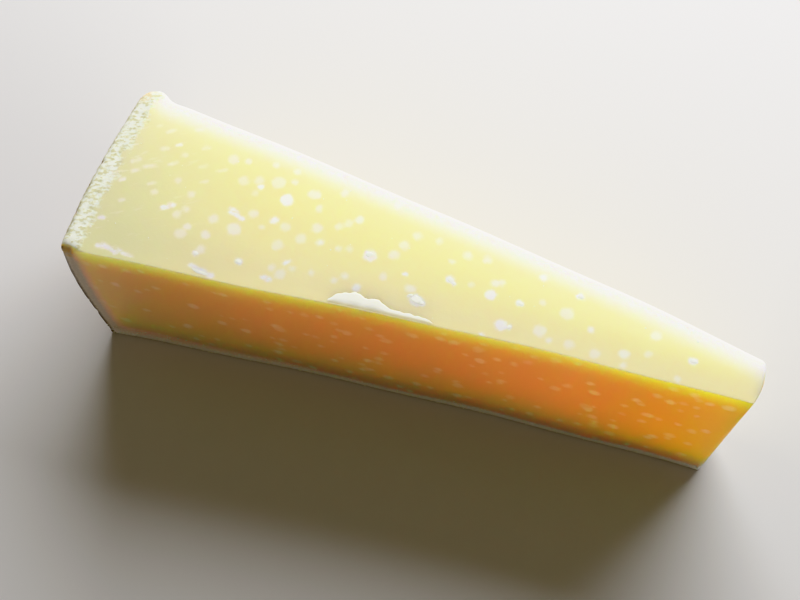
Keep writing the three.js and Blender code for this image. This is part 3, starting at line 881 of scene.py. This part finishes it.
    # light comes a long way through the paste, but not through its dry parts nor through the painted
    # highlight of the back rim; the shaded front cut has reaches of its own
    ridgeGlow = addNode(tree, "ShaderNodeMath", {
        0: fade["byRidge"], 1: look["ridgeGlowFalloff"]}, operation="POWER")
    edgeGlow = addNode(tree, "ShaderNodeMath", {
        0: fade["offRidge"], 1: look["edgeGlowFalloff"]}, operation="POWER")
    dryAndPaintedRim = addNode(tree, "ShaderNodeMath", {0: crust, 1: skin}, operation="MAXIMUM")
    dryAndPaintedRim = addNode(tree, "ShaderNodeMath", {0: dryAndPaintedRim, 1: rim}, operation="MAXIMUM")
    footGlow = addNode(tree, "ShaderNodeMix", {
        0: fade["footByTip"], 6: glow["foot"], 7: glow["footByTip"]}, data_type="RGBA")
    cutGlow = glow["cut"]
    for cover, reach in ((fade["byRind"], glow["cutByRind"]), (byTip, glow["tip"]),
                         (ridgeGlow, glow["ridge"]), (lowDown["footFrom"], footGlow)):
        cutGlow = addNode(tree, "ShaderNodeMix", {0: cover, 6: cutGlow, 7: reach}, data_type="RGBA")
    lit = glow["edge"]
    for cover, reach in ((edgeGlow, glow["top"]), (inShade, cutGlow),
                         (band, glow["band"]), (dryAndPaintedRim, glow["dryAndPaintedRim"])):
        lit = addNode(tree, "ShaderNodeMix", {0: cover, 6: lit, 7: reach}, data_type="RGBA")

    # dry parts, and the painted highlight of the back rim, are duller and grittier
    rough = addNode(tree, "ShaderNodeMath", {0: pattern["grit"], 1: look["glossGrit"]}, operation="MULTIPLY")
    rough = addNode(tree, "ShaderNodeMath", {0: rough, 1: look["gloss"]}, operation="ADD")
    dryness = addNode(tree, "ShaderNodeMath", {0: dryAndPaintedRim, 1: look["dryness"]}, operation="MULTIPLY")
    rough = addNode(tree, "ShaderNodeMath", {0: rough, 1: dryness}, operation="ADD")
    height = addNode(tree, "ShaderNodeMath", {
        0: pattern["grit"], 1: look["gritHeight"]}, operation="MULTIPLY")
    dryHeight = addNode(tree, "ShaderNodeMath", {0: pattern["fine"], 1: dryAndPaintedRim}, operation="MULTIPLY")
    dryHeight = addNode(tree, "ShaderNodeMath", {0: dryHeight, 1: look["dryHeight"]}, operation="MULTIPLY")
    height = addNode(tree, "ShaderNodeMath", {0: height, 1: dryHeight}, operation="ADD")
    bump = addNode(tree, "ShaderNodeBump", {"Height": height, "Distance": metre, "Strength": 0.6})
    shader = addNode(tree, "ShaderNodeBsdfPrincipled", {
        "Base Color": base, "Roughness": rough, "Normal": bump, "IOR": 1.45,
        "Subsurface Weight": 1.0, "Subsurface Scale": metre, "Subsurface Radius": lit})
    addNode(tree, "ShaderNodeOutputMaterial", {"Surface": shader})
    return material


rindLook = {
    "plain": "#a37d42",
    # tone, lump size in mm, detail, and the noise values where it starts and where it is full
    "patches": (("#b8924f", 9, 4, 0.35, 0.65), ("#c9b07c", 6, 5, 0.5, 0.8), ("#6f4f29", 1.4, 3, 0.64, 0.76)),
    "gritSize": 0.6, "gritDepth": 0.2, "dullest": 0.75, "glossiest": 0.5, "glossPatch": 3,
}


def driedBrushedRind():
    # the wheel's outside, dried, brushed and oiled for months: ochre-brown and hard,
    # with paler dusty patches where it was rubbed, and dark pits
    look = rindLook
    material = newMaterial("driedBrushedRind")
    tree = material.node_tree
    coordinates = addNode(tree, "ShaderNodeTexCoord").outputs["Object"]
    place = addNode(tree, "ShaderNodeMapping", {
        "Vector": coordinates, "Scale": (1 / metre, 1 / metre, 1 / metre)})
    base = hexToLinear(look["plain"])
    for colour, size, detail, start, full in look["patches"]:
        patch = addNode(tree, "ShaderNodeTexNoise", {"Vector": place, "Scale": 1 / size, "Detail": detail})
        cover = addNode(tree, "ShaderNodeMapRange", {"Value": patch, "From Min": start, "From Max": full})
        base = addNode(tree, "ShaderNodeMix", {
            0: cover, 6: base, 7: hexToLinear(colour)}, data_type="RGBA")
    gloss = addNode(tree, "ShaderNodeTexNoise", {
        "Vector": place, "Scale": 1 / look["glossPatch"], "Detail": 2})
    rough = addNode(tree, "ShaderNodeMapRange", {
        "Value": gloss, "To Min": look["glossiest"], "To Max": look["dullest"]})
    grit = addNode(tree, "ShaderNodeTexNoise", {"Vector": place, "Scale": 1 / look["gritSize"], "Detail": 3})
    height = addNode(tree, "ShaderNodeMath", {0: grit, 1: cover}, operation="SUBTRACT")  # the pits come last
    bump = addNode(tree, "ShaderNodeBump", {
        "Height": height, "Distance": look["gritDepth"] * metre, "Strength": 0.8})
    shader = addNode(tree, "ShaderNodeBsdfPrincipled", {
        "Base Color": base, "Roughness": rough, "Normal": bump, "IOR": 1.5})
    addNode(tree, "ShaderNodeOutputMaterial", {"Surface": shader})
    return material


tornLook = {
    "light": "#fcfff8", "smearDull": "#fafff2", "grainDull": "#f4f6e2",
    "smearGlow": 0.25, "grainGlow": 0.4, "gritSize": 0.6, "gritDepth": 0.06,  # mm
}


def tornPaste(name, dull, glowDepth):
    # paste torn or scraped off: full of tiny cracks, so it is whiter and duller than a clean cut
    material = newMaterial(name)
    tree = material.node_tree
    coordinates = addNode(tree, "ShaderNodeTexCoord").outputs["Object"]
    grit = addNode(tree, "ShaderNodeTexNoise", {
        "Vector": coordinates, "Scale": 1 / (tornLook["gritSize"] * metre), "Detail": 3})
    torn = addNode(tree, "ShaderNodeMix", {
        0: grit, 6: hexToLinear(tornLook["light"]), 7: hexToLinear(dull)}, data_type="RGBA")
    toPaste = addNode(tree, "ShaderNodeAttribute", attribute_name="towardsPaste").outputs["Fac"]
    base = addNode(tree, "ShaderNodeMix", {
        0: toPaste, 6: torn, 7: hexToLinear(pasteLook["tones"]["top"])}, data_type="RGBA")
    bump = addNode(tree, "ShaderNodeBump", {
        "Height": grit, "Distance": tornLook["gritDepth"] * metre, "Strength": 0.5})
    shader = addNode(tree, "ShaderNodeBsdfPrincipled", {
        "Base Color": base, "Roughness": 0.5, "Normal": bump, "IOR": 1.45,
        "Subsurface Weight": 0.3, "Subsurface Scale": glowDepth * metre,
        "Subsurface Radius": (1.0, 0.9, 0.7)})
    addNode(tree, "ShaderNodeOutputMaterial", {"Surface": shader})
    return material


pasteMaterial = agedPasteKnifeCut()
rindMaterial = driedBrushedRind()
tornMaterial = tornPaste("tornPasteSmear", tornLook["smearDull"], tornLook["smearGlow"])
grainMaterial = tornPaste("driedCrustGrain", tornLook["grainDull"], tornLook["grainGlow"])

cheeseBody = applyTree(wedgeForm, reliefTree(), {
    **relief, "Paste": pasteMaterial, "Rind": rindMaterial}, "cheeseBody")
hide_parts("cheese_wedge")
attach(cheeseBody, "root")
bodySurface = BVHTree.FromObject(cheeseBody, bpy.context.evaluated_depsgraph_get())
print("cheese body pressed and crumbled,", len(cheeseBody.data.polygons), "faces")


def onSurface(along, fromFront):
    # straight down onto the cut top, in mm
    x, y, z = onPlan(along, fromFront)
    hit = bodySurface.ray_cast(Vector((x, y, z + 10)) * metre, Vector((0, 0, -1)))
    return np.array(hit[0]) / metre


def keepPiece(piece):
    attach(piece, "root")


# Grains of dry paste that cling along the foot, and fine crumbs strewn over the top.
grainSets = {
    "footGrains": {
        "mask": "grainsOnFoot", "Per Square mm": 0.7, "Smallest": 0.12, "Largest": 0.3, "Seed": 5},
    "strayCrumbs": {
        "mask": "strayPlaces", "Per Square mm": 0.01, "Smallest": 0.1, "Largest": 0.26, "Seed": 8},
}
grainForm = {
    "narrowest": (0.7, 0.7, 0.1), "widest": (1.9, 1.9, 0.2),  # parts of a grain's size
    "lumpsPerSize": 1.4, "lumpDepth": 0.9,
    "crustSoft": 1.2, "crustClear": 0.3, "footRise": 0.8,  # thinner by the crust, thicker at the foot
}


def markGrainPlaces(mesh):
    fields = {}
    for name in ("crustEdge", "footEdge", "topCut", "frontCut"):
        values = np.empty(len(mesh.vertices), dtype=np.float32)
        mesh.attributes[name].data.foreach_get("value", values)
        fields[name] = values
    crust = np.clip(fields["crustEdge"] / grainForm["crustSoft"] + grainForm["crustClear"], 0, 1)
    foot = np.clip(fields["footEdge"] * grainForm["footRise"], 0, 1)
    addField(mesh, "grainsOnFoot", foot * fields["frontCut"])
    addField(mesh, "strayPlaces", fields["topCut"] * (1 - crust))


def grainTree(name, mask, sizes):
    tree = newGeometryTree(name, sizes, ("Finish",))
    given = addNode(tree, "NodeGroupInput").outputs
    where = addNode(tree, "GeometryNodeInputNamedAttribute", {"Name": mask})
    perMetre = addNode(tree, "ShaderNodeMath", {
        0: given["Per Square mm"], 1: metre ** -2}, operation="MULTIPLY")
    density = addNode(tree, "ShaderNodeMath", {0: where, 1: perMetre}, operation="MULTIPLY")
    points = addNode(tree, "GeometryNodeDistributePointsOnFaces", {
        "Mesh": given["Geometry"], "Density": density, "Seed": given["Seed"]})
    ball = addNode(tree, "GeometryNodeMeshIcoSphere", {"Radius": metre, "Subdivisions": 2})
    lumps = addNode(tree, "ShaderNodeTexNoise", {"Scale": grainForm["lumpsPerSize"] / metre, "Detail": 1})
    normal = addNode(tree, "GeometryNodeInputNormal")
    push = addNode(tree, "ShaderNodeMath", {
        0: lumps, 1: -grainForm["lumpDepth"] * metre}, operation="MULTIPLY")
    dents = addNode(tree, "ShaderNodeVectorMath", {0: normal, "Scale": push}, operation="SCALE")
    grain = addNode(tree, "GeometryNodeSetPosition", {"Geometry": ball, "Offset": dents})
    turn = addNode(tree, "FunctionNodeRandomValue", {
        "Max": (0, 0, 2 * math.pi), "Seed": given["Seed"]}, data_type="FLOAT_VECTOR")
    size = addNode(tree, "FunctionNodeRandomValue", {
        2: given["Smallest"], 3: given["Largest"], "Seed": given["Seed"]}, data_type="FLOAT")
    shape = addNode(tree, "FunctionNodeRandomValue", {
        "Min": grainForm["narrowest"], "Max": grainForm["widest"], "Seed": given["Seed"]},
        data_type="FLOAT_VECTOR")
    scale = addNode(tree, "ShaderNodeVectorMath", {0: shape, "Scale": size}, operation="SCALE")
    placed = addNode(tree, "GeometryNodeInstanceOnPoints", {
        "Points": points, "Instance": grain, "Rotation": turn, "Scale": scale})
    real = addNode(tree, "GeometryNodeRealizeInstances", {"Geometry": placed})
    smooth = addNode(tree, "GeometryNodeSetShadeSmooth", {"Geometry": real})
    finished = addNode(tree, "GeometryNodeSetMaterial", {"Geometry": smooth, "Material": given["Finish"]})
    addNode(tree, "NodeGroupOutput", {"Geometry": finished})
    return tree


markGrainPlaces(cheeseBody.data)
for name, settings in grainSets.items():
    sizes = {label: value for label, value in settings.items() if label != "mask"}
    tree = grainTree(name + "Tree", settings["mask"], sizes)
    grains = applyTree(cheeseBody, tree, {**sizes, "Finish": grainMaterial}, name)
    keepPiece(grains)
    print(name, len(grains.data.polygons), "faces")


# The burr: paste that smeared over the ridge and tore, thin at its ends, with a ragged raised rim.
burr = {
    # along the wedge, and how far back from the front cut the crest lies
    "crest": ((65.4, 2.0), (66.2, 2.9), (66.7, 3.6), (68.3, 4.3), (69.7, 4.7), (71.7, 5.0), (73.1, 4.4),
              (74.1, 4.2), (75.4, 4.7), (76.7, 4.2), (77.9, 3.5), (79.3, 2.9), (81.3, 2.6), (83.3, 2.7),
              (86.7, 2.7), (88.4, 2.3), (89.6, 1.8)),
    "rise": 0.045, "peak": 0.55, "sag": 0.35,  # parts of its reach, and of its rise behind the peak
    "toeIn": 0.35, "edge": 0.14, "sunk": 0.03, "shortest": 0.25, "thinnest": 0.02,
    "stations": 180, "steps": 13, "ragged": 0.35, "raggedSize": 1.2, "lumps": 0.5, "lumpSize": 2.2,
    "pale": (0.0, 1.0),  # mm from its toe over which it turns white
}


def burrSection(along, crest):
    # (mm from its toe, height over the top), round the section from toe to toe
    toe = float(frontOffset(along, wedge["height"])) + burr["toeIn"]
    ragged = burr["ragged"] * ripple((along, 1, 0), burr["raggedSize"], 5)
    reach = max(crest + ragged - toe, burr["shortest"])
    lumps = 1 + burr["lumps"] * ripple((along, 0, 0), burr["lumpSize"], 4)
    rise = burr["rise"] * reach * lumps + burr["thinnest"]
    section = []
    for t in np.linspace(0, 1, burr["steps"]):
        climb = math.sin(math.pi / 2 * min(1, t / burr["peak"]))
        sag = burr["sag"] * max(0, (t - burr["peak"]) / (1 - burr["peak"])) ** 2
        section.append((reach * t, (rise + burr["sunk"]) * climb - burr["sunk"] - rise * sag))
    # and back to the toe, under the paste
    section += [(reach + burr["edge"], -burr["sunk"]), (reach * 0.5, -3 * burr["sunk"])]
    return toe, section


def buildBurr():
    stops = np.linspace(burr["crest"][0][0], burr["crest"][-1][0], burr["stations"])
    crests = np.interp(stops, *zip(*burr["crest"]))
    points, faces, towardsPaste = [], [], []
    for along, crest in zip(stops, crests):
        toe, section = burrSection(along, crest)
        for back, lift in section:
            towardsPaste.append(float(1 - smoothStep(back, *burr["pale"])))
            points.append(onSurface(along, toe + back) + np.array([0, 0, lift]))
    count = len(points) // burr["stations"]
    for i in range(burr["stations"] - 1):
        for j in range(count):
            k = (j + 1) % count
            faces.append((i * count + j, (i + 1) * count + j, (i + 1) * count + k, i * count + k))
    faces.append(list(range(count)))
    faces.append([(burr["stations"] - 1) * count + j for j in range(count)][::-1])
    flake = meshFrom("tornBurr", points, faces)
    addField(flake.data, "towardsPaste", towardsPaste)
    return flake


tornBurr = buildBurr()
tornBurr.data.materials.append(tornMaterial)
keepPiece(tornBurr)
print("torn burr laid on the ridge")


spines = curlSpines()
knifeCurls = applyTree(spines, curlTree(), {"Finish": tornMaterial}, "knifeCurls")
bpy.data.objects.remove(spines)
keepPiece(knifeCurls)
print("knife curls", len(knifeCurls.data.polygons), "faces")


looseCrumbs = buildCrumbs()
looseCrumbs.data.materials.append(tornMaterial)
keepPiece(looseCrumbs)
print("loose crumbs strewn")
bpy.data.objects.remove(wedgeForm)


studio = {
    "floorSize": 3.0, "floorColour": "#d9dade",  # metres
    "keyPower": 9.37, "keySize": (0.8, 0.55), "keyDistance": 0.7,  # watts and metres
    "keyHeight": 34, "keyTurn": -20,  # degrees above the floor, and from straight behind the wedge
    "fillStrength": 0.195, "fillColour": "#ffecc7",
    "transform": "Khronos PBR Neutral",
}


def addFloor():
    half = studio["floorSize"] / metre / 2
    corners = [(-half, -half, 0), (half, -half, 0), (half, half, 0), (-half, half, 0)]
    floor = meshFrom("studioFloor", corners, [(0, 1, 2, 3)])
    material = newMaterial("mattePaintedFloor")
    shader = addNode(material.node_tree, "ShaderNodeBsdfPrincipled", {
        "Base Color": hexToLinear(studio["floorColour"]), "Roughness": 0.8})
    addNode(material.node_tree, "ShaderNodeOutputMaterial", {"Surface": shader})
    floor.data.materials.append(material)


def addKeyLight():
    data = bpy.data.lights.new("windowKey", "AREA")
    data.shape = "RECTANGLE"
    data.size, data.size_y = studio["keySize"]
    data.energy = studio["keyPower"]
    light = bpy.data.objects.new("windowKey", data)
    lift, aside = math.radians(studio["keyHeight"]), math.radians(camera["aim"] + studio["keyTurn"])
    away = Vector((-math.sin(aside) * math.cos(lift), math.cos(aside) * math.cos(lift), math.sin(lift)))
    light.location = away * studio["keyDistance"]
    light.rotation_euler = away.to_track_quat("Z", "Y").to_euler()
    bpy.context.collection.objects.link(light)


addFloor()
addKeyLight()
world = bpy.data.worlds.new("studioWorld")
bpy.context.scene.world = world
world.use_nodes = True
background = world.node_tree.nodes["Background"]
background.inputs["Color"].default_value = hexToLinear(studio["fillColour"])
background.inputs["Strength"].default_value = studio["fillStrength"]
bpy.context.scene.view_settings.view_transform = studio["transform"]
print("studio lit")
